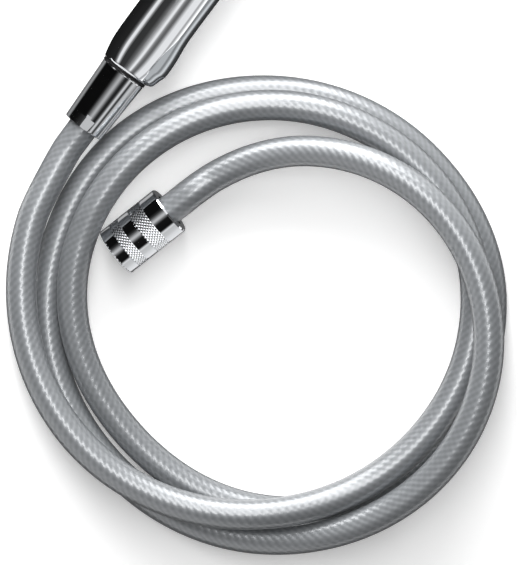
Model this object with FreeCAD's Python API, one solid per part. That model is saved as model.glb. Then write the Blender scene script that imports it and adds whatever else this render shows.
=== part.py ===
"""Handheld bath sprayer: a chrome handset on a coiled braided hose with a nut at each end."""
import math
import os

import FreeCAD
import Part

Vector = FreeCAD.Vector

# All lengths in millimetres, all angles in degrees.
# Hose: braided tube, and the coil it lies in. Each pair is a turn angle round the coil's middle
# and the centreline's radius or height there: radii flow smoothly through the pairs, heights ease
# from level to level.
HOSE_OD = 14.0
HOSE_ID = 8.0
COIL_RADII = ((169.5, 117.0), (200, 110.4), (245, 100.8), (285, 93.2), (315, 90.5), (350, 93.0),
              (390, 99.3), (418, 102.1), (460, 98.8), (500, 94.4), (560, 86.4), (610, 80.1),
              (640, 82.6), (700, 97.8), (760, 108.8), (800, 106.9), (845, 103.6), (885, 101.6),
              (920, 97.4), (955, 95.7), (985, 96.3), (1030, 103.0), (1075, 108.8), (1105, 107.2),
              (1140, 98.2), (1190, 78.4), (1222, 66.6), (1246, 62.4))
COIL_HEIGHTS = ((169.5, 15.8), (260, 23.6), (305, 25.8), (345, 22.2), (390, 22.2), (520, 21.6),
                (640, 7.2), (980, 7.2), (1125, 39.0), (1246, 16.5))
COIL_STEP = 90.0
COIL_PHASE = 55.0

# How the handset lies: its axis runs along +Y and rises towards the head.
LEAN = 3.75
# Middle of the handset's outline, measured from the coil's middle.
HANDSET_MID_X = -129.2
HANDSET_MID_Y = 142.1

# Supply end of the hose: heading in plan and downward slope of the nut's axis.
SUPPLY_HEADING = 254.87
SUPPLY_SLOPE = 8.0
SUPPLY_NUT_R = 11.85
SUPPLY_NUT_LENGTH = 32.0
SUPPLY_THREAD_R = 9.32
SUPPLY_SHOULDER = 15.0
SUPPLY_HOLE_R = 8.1
# Bands along the nut from its open end: plain, knurled, plain, knurled, plain.
SUPPLY_BANDS = (0.0, 5.4, 10.8, 16.2, 23.6, 32.0)
KNURL_DROP = 0.15

# Cone nut at the handset: large end at the handle, small end where the hose comes out.
CONE_LARGE_R = 11.15
CONE_SMALL_R = 9.9
CONE_LENGTH = 31.2
CONE_GAP = 0.2
CONE_THREAD_R = 9.95
CONE_FLAT = 9.0
CONE_FLAT_LENGTH = 5.3
CONE_FLAT_TURN = -6.0

# Hose fittings: flanged barbed tail, rubber washer and crimped ferrule.
SPIGOT_R = 9.85
SPIGOT_LENGTH = 9.5
WASHER_THICKNESS = 2.0
FLANGE_THICKNESS = 2.5
FLANGE_R = 9.1
TAIL_BORE_R = 2.7
BARB_LENGTH = 13.0
FERRULE_R = 7.8
FERRULE_WALL = 0.4

# Handle: radius at heights along the axis, then the neck that carries it into the head.
RIM_Y = 1.2
END_SEAL_R = 11.4
HANDLE_RADII = ((1.2, 11.5), (2.4, 12.1), (9.7, 13.5), (18.0, 13.9), (40.0, 13.9), (75.0, 13.3),
                (112.0, 12.2))
NECK_SECTIONS = ((0.0, 112.0, 0.0, 12.2), (-1.3, 124.5, 12.0, 12.0), (-5.2, 136.4, 24.0, 11.8),
                 (-13.5, 150.0, 33.0, 11.0), (-22.0, 161.0, 38.0, 8.0))
HANDLE_BORE_R = 9.6
# Back insert: its own axis stands behind the handle's, and its radius swells near the foot.
INSERT_AXIS_X = 6.5
INSERT_FLOOR_X = 6.9
INSERT_RADII = ((1.2, 5.4), (2.3, 7.4), (3.4, 8.3), (6.8, 9.3), (9.7, 10.3), (14.0, 10.4),
                (19.0, 10.1), (29.0, 9.1), (60.0, 9.0), (92.0, 7.6), (112.0, 4.6))
SEAM = 0.25

# Head: a disc whose face looks along -X and a little towards the handle.
FACE_X = -36.0
FACE_Y = 160.0
FACE_TURN = 110.0
HEAD_R = 28.3
RING_DEPTH = 7.8
DOME_DEPTH = 30.0
CHAMBER_R = 24.6
CHAMBER_DEPTH = 14.8
WATERWAY_R = 6.2
WATERWAY_BORE_R = 4.8
WATERWAY_BEND_R = 60.0
WATERWAY_BEND = 22.0
SELECTOR_STEP = 45.0
NOZZLE_RINGS = ((9.5, 6), (18.0, 12))
NOZZLE_R = 1.3
PORT_R = 2.2
PORT_CIRCLE = 12.0
DETENT_CIRCLE = 19.5

OUT = "parts"


def turned(profile):
    """Solid of a closed (radius, y) profile turned about the Y axis."""
    points = [Vector(r, y, 0) for r, y in profile]
    face = Part.Face(Part.makePolygon(points + [points[0]]))
    return face.revolve(Vector(0, 0, 0), Vector(0, 1, 0), 360)


def barrel(stations):
    """Solid of revolution about Y whose outline is a smooth curve through (y, radius) stations."""
    points = [Vector(r, y, 0) for y, r in stations]
    curve = Part.BSplineCurve()
    curve.interpolate(points)
    foot = Vector(0, points[0].y, 0)
    top = Vector(0, points[-1].y, 0)
    edges = [curve.toShape(), Part.makeLine(points[-1], top), Part.makeLine(top, foot),
             Part.makeLine(foot, points[0])]
    face = Part.Face(Part.Wire(edges))
    return face.revolve(Vector(0, 0, 0), Vector(0, 1, 0), 360)


def bar(radius, start, end, x=0.0, z=0.0):
    """Cylinder along Y from start to end."""
    return Part.makeCylinder(radius, end - start, Vector(x, start, z), Vector(0, 1, 0))


def pipe(outer, inner, start, end):
    """Tube along Y from start to end."""
    return bar(outer, start, end).cut(bar(inner, start - 1, end + 1))


def on_circle(radius, degrees):
    """(x, z) of a point round the Y axis."""
    angle = math.radians(degrees)
    return radius * math.cos(angle), radius * math.sin(angle)


# The coil's route.

def eased(stations, angle):
    """Value at an angle: cosine ease between the stations on either side."""
    for (a0, v0), (a1, v1) in zip(stations, stations[1:]):
        if angle <= a1:
            share = max(0.0, (angle - a0) / (a1 - a0))
            return v0 + (v1 - v0) * (1 - math.cos(math.pi * share)) / 2
    return stations[-1][1]


def flowing(stations, angle):
    """Value at an angle on a smooth curve that passes each station along its neighbours' chord."""
    last = len(stations) - 1
    i = min(max(sum(a < angle for a, _ in stations) - 1, 0), last - 1)
    slopes = []
    for j in (i, i + 1):
        (a0, v0), (a1, v1) = stations[max(j - 1, 0)], stations[min(j + 1, last)]
        slopes.append((v1 - v0) / (a1 - a0))
    (a0, v0), (a1, v1) = stations[i], stations[i + 1]
    width = a1 - a0
    t = (angle - a0) / width
    bend = (slopes[0] * (1 - t) - slopes[1] * t) * width + (v1 - v0) * (2 * t - 1)
    return v0 + (v1 - v0) * t + t * (1 - t) * bend


def coil_point(angle):
    """Point of the hose's centreline, from the coil's middle."""
    radius = flowing(COIL_RADII, angle)
    turn = math.radians(angle)
    return Vector(radius * math.cos(turn), radius * math.sin(turn), eased(COIL_HEIGHTS, angle))


def coil_heading(angle):
    """Direction of the hose's centreline at an angle."""
    step = coil_point(angle + 0.5) - coil_point(angle - 0.5)
    return step.normalize()


def handset_axis():
    """Direction of the handset's axis, towards the head."""
    lean = math.radians(LEAN)
    return Vector(0, math.cos(lean), math.sin(lean))


def supply_axis():
    """Direction of the supply nut's axis, out of its open end."""
    heading = math.radians(SUPPLY_HEADING)
    slope = math.radians(SUPPLY_SLOPE)
    return Vector(math.cos(heading) * math.cos(slope), math.sin(heading) * math.cos(slope),
                  -math.sin(slope))


def arc_between(start, heading, end):
    """(middle point, radius) of the arc that leaves start along heading and reaches end."""
    chord = end - start
    along = chord / chord.Length
    half = math.acos(max(-1.0, min(1.0, along.dot(heading))))
    radius = chord.Length / (2 * math.sin(half))
    side = (along - heading * math.cos(half)).normalize()
    middle = start + heading * (radius * math.sin(half)) + side * (radius * (1 - math.cos(half)))
    return middle, radius


def biarc(start, heading, end, last_heading):
    """Two tangent arcs between two points with given headings: [(start, middle, end), ...]."""
    gap = end - start
    both = heading + last_heading
    k = 2 * (1 - heading.dot(last_heading))
    reach = (math.sqrt(gap.dot(both) ** 2 + k * gap.dot(gap)) - gap.dot(both)) / k
    joint = (start + end + (heading - last_heading) * reach) * 0.5
    turn = (joint - (start + heading * reach)).normalize()
    first, radius_a = arc_between(start, heading, joint)
    second, radius_b = arc_between(joint, turn, end)
    return [(start, first, joint), (joint, second, end)], (radius_a, radius_b)


def coil_nodes():
    """Points and headings that the hose passes, from the cone nut to the supply nut."""
    first, last = COIL_RADII[0][0], COIL_RADII[-1][0]
    out_of_cone = -handset_axis()
    into_supply = supply_axis()
    nodes = [(coil_point(first) + out_of_cone * HOSE_OD, out_of_cone)]
    angle = COIL_PHASE + COIL_STEP * math.ceil((first + 20 - COIL_PHASE) / COIL_STEP)
    while angle < last - 40:
        nodes.append((coil_point(angle), coil_heading(angle)))
        angle += COIL_STEP
    nodes.append((coil_point(last) - into_supply * HOSE_OD, into_supply))
    return nodes


def hose_edges():
    """Edges of the hose's centreline from tail flange to tail flange, and its arcs' radii."""
    start = coil_point(COIL_RADII[0][0]) + handset_axis() * (CONE_LENGTH - cone_flange_depth())
    end = coil_point(COIL_RADII[-1][0]) + supply_axis() * supply_flange()
    nodes = coil_nodes()
    edges = [Part.makeLine(start, nodes[0][0])]
    radii = []
    for (p, t), (q, u) in zip(nodes, nodes[1:]):
        arcs, pair = biarc(p, t, q, u)
        radii.extend(pair)
        edges.extend(Part.Arc(a, m, b).toShape() for a, m, b in arcs)
    edges.append(Part.makeLine(nodes[-1][0], end))
    return edges, radii


def least_gap(edges):
    """Least distance between the hose's surface and itself, on points 2 mm apart."""
    points = []
    for edge in edges:
        points.extend(edge.discretize(max(2, int(edge.Length / 2)))[:-1])
    apart = 28
    least = 1e9
    for i, p in enumerate(points):
        for q in points[i + apart:]:
            least = min(least, p.distanceToPoint(q))
    return least - HOSE_OD


def make_hose():
    """One unbroken tube along the coil, bored at both ends for the barbed tails."""
    edges, radii = hose_edges()
    spine = Part.Wire(edges)
    start = edges[0].valueAt(edges[0].FirstParameter)
    end = edges[-1].valueAt(edges[-1].LastParameter)
    ring = Part.makeCircle(HOSE_OD / 2, start, -handset_axis())
    tube = spine.makePipeShell([Part.Wire([ring])], True, False)
    wanted = math.pi * (HOSE_OD / 2) ** 2 * spine.Length
    print("hose: length %.0f mm, volume over section x length %.4f, least gap %.2f mm" % (
        spine.Length, tube.Volume / wanted, least_gap(edges)))
    print("hose: arc radii %s" % ", ".join("%.0f" % r for r in radii))
    for mouth, inward in ((start, -handset_axis()), (end, -supply_axis())):
        tube = tube.cut(Part.makeCylinder(HOSE_ID / 2, BARB_LENGTH + 2, mouth, inward))
    return tube


# Hose fittings lie along +Y towards the mouth, with the flange's hose side at y = 0.

def cone_flange_depth():
    """Distance from the handle's rim plane down to the hose side of the tail's flange."""
    return SPIGOT_LENGTH + WASHER_THICKNESS + FLANGE_THICKNESS


def supply_flange():
    """Distance from the supply nut's rear face to the hose side of the tail's flange."""
    return SUPPLY_SHOULDER + 2.0


def make_tail():
    """Barbed tail: flange in front, three barbs in the hose, bored through."""
    profile = [(TAIL_BORE_R, FLANGE_THICKNESS), (FLANGE_R, FLANGE_THICKNESS), (FLANGE_R, 0),
               (3.4, 0)]
    pitch = (BARB_LENGTH - 1) / 3
    for i in range(3):
        y = -1 - i * pitch
        profile += [(3.4, y), (HOSE_ID / 2, y), (3.3, y - pitch)]
    profile += [(TAIL_BORE_R, -BARB_LENGTH)]
    return turned(profile)


def make_ferrule():
    """Crimped sleeve over the hose's end, with two rolled grooves."""
    outer, inner = FERRULE_R, HOSE_OD / 2
    groove = outer - FERRULE_WALL
    return turned([(inner, -0.2), (outer, -0.2), (outer, -3), (groove, -3.4), (groove, -4.4),
                   (outer, -4.8), (outer, -7), (groove, -7.4), (groove, -8.4), (outer, -8.8),
                   (outer, -11.5), (inner, -11.5)])


def make_washer():
    """Flat rubber washer in front of the flange."""
    return pipe(FLANGE_R, 5.0, FLANGE_THICKNESS, FLANGE_THICKNESS + WASHER_THICKNESS)


def make_cone_nut():
    """Tapered nut: y = 0 at the handle's rim, small end at -CONE_LENGTH."""
    depth = cone_flange_depth()
    body = turned([(CONE_THREAD_R, -CONE_GAP), (CONE_LARGE_R - 0.4, -CONE_GAP),
                   (CONE_LARGE_R, -CONE_GAP - 0.4), (CONE_SMALL_R + 0.02, -CONE_LENGTH + 0.5),
                   (CONE_SMALL_R - 0.5, -CONE_LENGTH), (7.3, -CONE_LENGTH), (7.3, -27.5),
                   (8.1, -27.0), (8.1, -depth - 0.1), (CONE_THREAD_R, -depth - 0.1)])
    for side in (1, -1):
        low, high = (CONE_FLAT, 20) if side > 0 else (-20, -CONE_FLAT)
        flat = Part.makeBox(30, CONE_FLAT_LENGTH + 1, high - low,
                            Vector(-15, -CONE_LENGTH - 1, low))
        flat.rotate(Vector(0, 0, 0), Vector(0, 1, 0), CONE_FLAT_TURN)
        body = body.cut(flat)
    return body


def make_supply_nut():
    """Knurled nut: rear face at y = 0, open end at SUPPLY_NUT_LENGTH."""
    end = SUPPLY_NUT_LENGTH
    r = SUPPLY_NUT_R
    low = r - KNURL_DROP
    b = [end - band for band in SUPPLY_BANDS]
    return turned([(SUPPLY_THREAD_R + 0.6, end), (r - 0.6, end), (r, end - 0.6), (r, b[1]),
                   (low, b[1] - 0.2), (low, b[2] + 0.2), (r, b[2]), (r, b[3]), (low, b[3] - 0.2),
                   (low, b[4] + 0.2), (r, b[4]), (r, 1.2), (r - 1.2, 0), (SUPPLY_HOLE_R + 0.4, 0),
                   (SUPPLY_HOLE_R, 0.4), (SUPPLY_HOLE_R, SUPPLY_SHOULDER),
                   (SUPPLY_THREAD_R, SUPPLY_SHOULDER), (SUPPLY_THREAD_R, end - 0.6)])


def make_slip_ring():
    """Nylon ring between the nut's shoulder and the tail's flange."""
    return pipe(9.2, SUPPLY_HOLE_R, SUPPLY_SHOULDER + 0.1, SUPPLY_SHOULDER + 1.9)


# Handset pieces lie along +Y, with y = 0 at the foot of the handle.

def neck():
    """Loft from the top of the handle, bending forward into the head."""
    rings = []
    for x, y, turn, radius in NECK_SECTIONS:
        angle = math.radians(turn)
        ring = Part.makeCircle(radius, Vector(x, y, 0), Vector(-math.sin(angle), math.cos(angle), 0))
        rings.append(Part.Wire([ring]))
    return Part.makeLoft(rings, True, False)


def head_dome():
    """Back of the head, turned about the face's axis, face plane at y = 0."""
    rim = Vector(HEAD_R, -RING_DEPTH - 0.2, 0)
    pole = Vector(0, -DOME_DEPTH, 0)
    front = Vector(0, rim.y, 0)
    height = rim.y - pole.y
    radius = (HEAD_R ** 2 + height ** 2) / (2 * height)
    turn = math.asin(HEAD_R / radius) / 2
    shoulder = Vector(radius * math.sin(turn), pole.y + radius * (1 - math.cos(turn)), 0)
    edges = [Part.makeLine(front, rim), Part.Arc(rim, shoulder, pole).toShape(),
             Part.makeLine(pole, front)]
    return Part.Face(Part.Wire(edges)).revolve(Vector(0, 0, 0), Vector(0, 1, 0), 360)


def to_face(shape):
    """Moves a head piece from its own axis to its place on the handset."""
    placed = shape.copy()
    placed.rotate(Vector(0, 0, 0), Vector(0, 0, 1), FACE_TURN)
    placed.translate(Vector(FACE_X, FACE_Y, 0))
    return placed


def face_point(depth, along):
    """Point on the handset behind the face's middle by depth, and along it away from the handle."""
    turn = math.radians(FACE_TURN)
    axis = Vector(-math.sin(turn), math.cos(turn), 0)
    up = Vector(math.cos(turn), math.sin(turn), 0)
    return Vector(FACE_X, FACE_Y, 0) - axis * depth + up * along


def waterway_spine(start_y):
    """Centreline of the water tube: straight up the handle, then bending with the neck."""
    top = 112.0
    r = WATERWAY_BEND_R
    turns = [math.radians(WATERWAY_BEND * share) for share in (0.5, 1.0)]
    mid, end = [Vector(-r + r * math.cos(t), top + r * math.sin(t), 0) for t in turns]
    line = Part.makeLine(Vector(0, start_y, 0), Vector(0, top, 0))
    return Part.Wire([line, Part.Arc(Vector(0, top, 0), mid, end).toShape()]), end


def waterway_rod(radius, start_y):
    """Solid rod along the water tube's centreline."""
    spine, _ = waterway_spine(start_y)
    ring = Part.makeCircle(radius, Vector(0, start_y, 0), Vector(0, 1, 0))
    return spine.makePipeShell([Part.Wire([ring])], True, False)


def make_waterway_tube():
    """Water tube from the spigot to the head."""
    return waterway_rod(WATERWAY_R, 2.0).cut(waterway_rod(WATERWAY_BORE_R, 1.0))


def keel(drop):
    """The back insert's full round form, smaller by drop, behind its flat floor."""
    stations = [(y, r - drop) for y, r in INSERT_RADII]
    stations[0] = (stations[0][0] + drop, stations[0][1])
    body = barrel(stations)
    body.translate(Vector(INSERT_AXIS_X, 0, 0))
    half = Part.makeBox(20, 140, 40, Vector(INSERT_FLOOR_X, -10, -20))
    return body.common(half)


def make_front_shell():
    """Chrome-plated body: handle, neck and head in one moulding."""
    body = barrel(HANDLE_RADII).fuse(neck()).fuse(to_face(head_dome()))
    body = body.cut(to_face(bar(HEAD_R + 6, -RING_DEPTH - 0.2, 8)))
    body = body.cut(to_face(bar(CHAMBER_R, -CHAMBER_DEPTH, 0)))
    body = body.cut(to_face(bar(8.0, -24.0, -CHAMBER_DEPTH + 1)))
    body = body.cut(waterway_rod(WATERWAY_R, -1.0))
    _, tube_end = waterway_spine(0.0)
    pocket = face_point(22.0, 0.0)
    run = pocket - tube_end
    body = body.cut(Part.makeCylinder(4.0, run.Length, tube_end, run))
    body = body.cut(bar(8.2, -1, 16.5)).cut(bar(HANDLE_BORE_R, 16, 106))
    return body.cut(keel(0.0)).removeSplitter()


def make_back_insert():
    """Strip that closes the handle's back, swelling to a keel at the foot."""
    return keel(SEAM).cut(bar(HANDLE_BORE_R - 0.6, 16, 106)).cut(bar(8.3, -1, 16.5))


def make_inlet_spigot():
    """Threaded inlet of the handset with its shank in the handle."""
    return turned([(5.0, -SPIGOT_LENGTH + 2), (7.5, -SPIGOT_LENGTH + 2), (7.5, -SPIGOT_LENGTH),
                   (SPIGOT_R - 0.5, -SPIGOT_LENGTH), (SPIGOT_R, -SPIGOT_LENGTH + 0.5),
                   (SPIGOT_R, RIM_Y), (8.2, RIM_Y), (8.2, 14.0), (WATERWAY_R, 14.0),
                   (WATERWAY_R, 2.0), (5.0, 2.0)])


def make_end_seal():
    """Black ring in the joint between the handle's rim and the cone nut."""
    return pipe(END_SEAL_R, SPIGOT_R, 0.0, RIM_Y)


def make_inlet_filter():
    """Dished strainer in the mouth of the spigot, with seven holes."""
    low = -SPIGOT_LENGTH
    disc = bar(7.5, low, low + 1.6)
    disc = disc.cut(bar(6.3, low - 1, low + 0.6))
    holes = [bar(1.1, low - 1, low + 3)]
    for i in range(6):
        x, z = on_circle(4.0, 60 * i)
        holes.append(bar(1.1, low - 1, low + 3, x, z))
    return disc.cut(Part.makeCompound(holes))


# Head pieces are turned about the face's axis, with the face plane at y = 0.

def nozzle_places():
    """(x, z) of every nozzle."""
    return [on_circle(radius, 360.0 * i / count)
            for radius, count in NOZZLE_RINGS for i in range(count)]


def make_face_ring():
    """Chrome ring round the face, with the thumb tab on the handle's side."""
    ring = turned([(CHAMBER_R - 0.4, -RING_DEPTH), (HEAD_R, -RING_DEPTH), (HEAD_R, -2.0),
                   (HEAD_R - 2.0, 0), (CHAMBER_R, 0), (CHAMBER_R - 0.4, -0.6)])
    tab = Part.makeBox(7.0, 4.6, 9.0, Vector(-HEAD_R - 4.0, -6.2, -4.5))
    tab = tab.makeFillet(1.6, [e for e in tab.Edges if abs(e.tangentAt(e.FirstParameter).x) > 0.9])
    return ring.fuse(tab.cut(bar(HEAD_R - 1.5, -9, 1))).removeSplitter()


def make_spray_face():
    """Face plate with a hole for each nozzle and a well for the screw's cap."""
    plate = bar(CHAMBER_R - 0.4, -3.8, -0.8)
    holes = [bar(NOZZLE_R, -5, 1, x, z) for x, z in nozzle_places()]
    return plate.cut(Part.makeCompound(holes + [bar(5.0, -1.8, 1), bar(4.1, -3.3, 1), bar(2.1, -5, 1)]))


def make_nozzle_mat():
    """Rubber mat behind the face, its tubes standing out through the holes."""
    mat = bar(21.8, -5.3, -3.8).cut(bar(4.6, -6, -3))
    tubes = [bar(NOZZLE_R, -4.2, 0.3, x, z) for x, z in nozzle_places()]
    bores = [bar(0.55, -6, 1, x, z) for x, z in nozzle_places()]
    return mat.multiFuse(tubes).cut(Part.makeCompound(bores))


def make_selector_disc():
    """Cup behind the mat: turns with the face and carries three spray ports."""
    cup = turned([(0, -11.2), (23.8, -11.2), (23.8, -3.8), (21.9, -3.8), (21.9, -8.6), (4.5, -8.6),
                  (4.5, -3.8), (0, -3.8)])
    cuts = [bar(2.1, -12, -3)]
    for i in (-1, 0, 1):
        x, z = on_circle(PORT_CIRCLE, 180 + i * SELECTOR_STEP)
        cuts.append(bar(PORT_R, -12, -8, x, z))
    groove = turned([(DETENT_CIRCLE - 1.4, -11.2), (DETENT_CIRCLE, -9.8), (DETENT_CIRCLE + 1.4, -11.2),
                     (DETENT_CIRCLE, -12.5)])
    return cup.cut(Part.makeCompound(cuts)).cut(groove)


def make_valve_seat():
    """Fixed plate at the back of the chamber: one port, the screw's boss and the detent's well."""
    plate = bar(CHAMBER_R - 0.2, -CHAMBER_DEPTH, -11.6).fuse(bar(4.0, -19.5, -CHAMBER_DEPTH))
    x, z = on_circle(PORT_CIRCLE, 180)
    passages = [bar(PORT_R, -16, -11, x, z), bar(PORT_R + 1.6, -12.6, -11, x, z)]
    wx, wz = on_circle(DETENT_CIRCLE, 0)
    passages += [bar(1.7, -14.3, -11, wx, wz), bar(1.5, -18.5, -11)]
    return plate.cut(Part.makeCompound(passages))


def make_plate_seal():
    """Rubber ring in the seat's recess round its port."""
    x, z = on_circle(PORT_CIRCLE, 180)
    ring = bar(PORT_R + 1.6, -12.6, -11.3, x, z)
    return ring.cut(bar(PORT_R, -13, -11, x, z))


def make_detent_spring():
    """Short sleeve of the detent's closed-coil spring."""
    x, z = on_circle(DETENT_CIRCLE, 0)
    return bar(1.5, -14.3, -12.5, x, z).cut(bar(0.9, -15, -12, x, z))


def make_detent_ball():
    """Ball that drops in the selector's groove."""
    x, z = on_circle(DETENT_CIRCLE, 0)
    return Part.makeSphere(1.2, Vector(x, -11.65, z))


def make_face_screw():
    """Screw that holds the turning face to the valve seat."""
    screw = turned([(0, -18.4), (1.5, -18.4), (1.5, -3.2), (3.6, -3.2), (3.6, -2.4), (2.9, -1.9),
                    (0, -1.9)])
    slots = [Part.makeBox(4.4, 2.0, 0.9, Vector(-2.2, -2.7, -0.45)),
             Part.makeBox(0.9, 2.0, 4.4, Vector(-0.45, -2.7, -2.2))]
    return screw.cut(Part.makeCompound([slots[0].fuse(slots[1])]))


def make_screw_cap():
    """Chrome cap that closes the screw's well in the face."""
    return turned([(0, -1.7), (5.0, -1.7), (5.0, -0.6), (3.8, -0.1), (0, -0.1)])


def on_handset(shape):
    """Places a piece made along the handset's own axis."""
    placed = shape.copy()
    placed.translate(Vector(0, CONE_LENGTH, 0))
    placed.rotate(Vector(0, 0, 0), Vector(1, 0, 0), LEAN)
    placed.translate(coil_point(COIL_RADII[0][0]))
    return placed


def on_supply(shape):
    """Places a piece made along the supply nut's axis, rear face at y = 0."""
    placed = shape.copy()
    placed.rotate(Vector(0, 0, 0), Vector(1, 0, 0), -SUPPLY_SLOPE)
    placed.rotate(Vector(0, 0, 0), Vector(0, 0, 1), SUPPLY_HEADING - 90)
    placed.translate(coil_point(COIL_RADII[-1][0]))
    return placed


def moved(shape, y):
    """Copy of a piece shifted along its own axis."""
    shifted = shape.copy()
    shifted.translate(Vector(0, y, 0))
    return shifted


def handset_pieces():
    """Fixed and turning pieces of the handset."""
    head = {
        "face_ring": make_face_ring(), "spray_face": make_spray_face(),
        "nozzle_mat": make_nozzle_mat(), "selector_disc": make_selector_disc(),
        "valve_seat": make_valve_seat(), "plate_seal": make_plate_seal(),
        "detent_spring": make_detent_spring(), "detent_ball": make_detent_ball(),
        "face_screw": make_face_screw(), "screw_cap": make_screw_cap(),
    }
    pieces = {name: to_face(shape) for name, shape in head.items()}
    pieces["front_shell"] = make_front_shell()
    pieces["back_insert"] = make_back_insert()
    pieces["inlet_spigot"] = make_inlet_spigot()
    pieces["end_seal_ring"] = make_end_seal()
    pieces["inlet_filter"] = make_inlet_filter()
    pieces["waterway_tube"] = make_waterway_tube()
    return {name: on_handset(shape) for name, shape in pieces.items()}


def hose_pieces():
    """The hose with the pieces on its two ends."""
    at_cone = -cone_flange_depth()
    at_supply = supply_flange()
    return {
        "hose": make_hose(),
        "cone_nut": on_handset(make_cone_nut()),
        "handset_tail": on_handset(moved(make_tail(), at_cone)),
        "handset_ferrule": on_handset(moved(make_ferrule(), at_cone)),
        "handset_washer": on_handset(moved(make_washer(), at_cone)),
        "supply_nut": on_supply(make_supply_nut()),
        "supply_slip_ring": on_supply(make_slip_ring()),
        "supply_tail": on_supply(moved(make_tail(), at_supply)),
        "supply_ferrule": on_supply(moved(make_ferrule(), at_supply)),
        "supply_washer": on_supply(moved(make_washer(), at_supply)),
    }


def main():
    """Builds every piece, moves the origin under the handset's middle and writes the files."""
    os.makedirs(OUT, exist_ok=True)
    pieces = handset_pieces()
    pieces.update(hose_pieces())
    for name, shape in pieces.items():
        shape.translate(Vector(-HANDSET_MID_X, -HANDSET_MID_Y, 0))
        if not shape.isValid() or len(shape.Solids) != 1:
            print("check", name, shape.isValid(), len(shape.Solids))
        shape.exportStep(os.path.join(OUT, name + ".step"))


if __name__ == "__main__":
    main()
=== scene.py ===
"""Handheld bath sprayer: dresses the handset, its coiled braided hose and the nut at each end."""
from __future__ import annotations

import logging
import math
from dataclasses import dataclass, field
from enum import Enum

import bpy
from mathutils import Matrix, Vector


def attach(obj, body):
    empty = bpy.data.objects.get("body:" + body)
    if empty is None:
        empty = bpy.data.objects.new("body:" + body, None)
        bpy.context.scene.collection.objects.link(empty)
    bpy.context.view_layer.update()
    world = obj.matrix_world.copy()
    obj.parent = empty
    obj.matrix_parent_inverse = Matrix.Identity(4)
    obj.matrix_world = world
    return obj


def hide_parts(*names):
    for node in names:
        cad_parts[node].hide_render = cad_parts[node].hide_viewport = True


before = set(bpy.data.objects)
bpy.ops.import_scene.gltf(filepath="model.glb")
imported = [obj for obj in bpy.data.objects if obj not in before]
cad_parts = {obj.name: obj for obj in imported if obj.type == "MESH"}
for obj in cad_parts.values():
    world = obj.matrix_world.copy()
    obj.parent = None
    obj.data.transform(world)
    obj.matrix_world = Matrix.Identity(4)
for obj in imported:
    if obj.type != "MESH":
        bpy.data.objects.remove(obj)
log = logging.getLogger("bath_sprayer")

MM = 0.001
Piece = bpy.types.Object
Tree = bpy.types.NodeTree
Station = tuple[float, float]
Stations = tuple[Station, ...]


def chord_slopes(stations: Stations) -> list[float]:
    """Slope of a smooth curve at each station, along the chord of its neighbours.

    Args:
        stations: (place, value) pairs in order.

    Returns:
        A slope for each of them.
    """
    last = len(stations) - 1
    chords = [(stations[max(i - 1, 0)], stations[min(i + 1, last)]) for i in range(last + 1)]
    return [(v1 - v0) / (a1 - a0) for (a0, v0), (a1, v1) in chords]


def on_curve(t: float, ends: Station, slopes: Station) -> float:
    """Value part of the way along a smooth curve.

    Args:
        t: how far along it is, from 0 to 1.
        ends: the values at the curve's two ends.
        slopes: how steeply it leaves and arrives, per whole way.

    Returns:
        The value.
    """
    return ((2 * t ** 3 - 3 * t ** 2 + 1) * ends[0] + (t ** 3 - 2 * t ** 2 + t) * slopes[0]
            + (-2 * t ** 3 + 3 * t ** 2) * ends[1] + (t ** 3 - t ** 2) * slopes[1])


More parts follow.
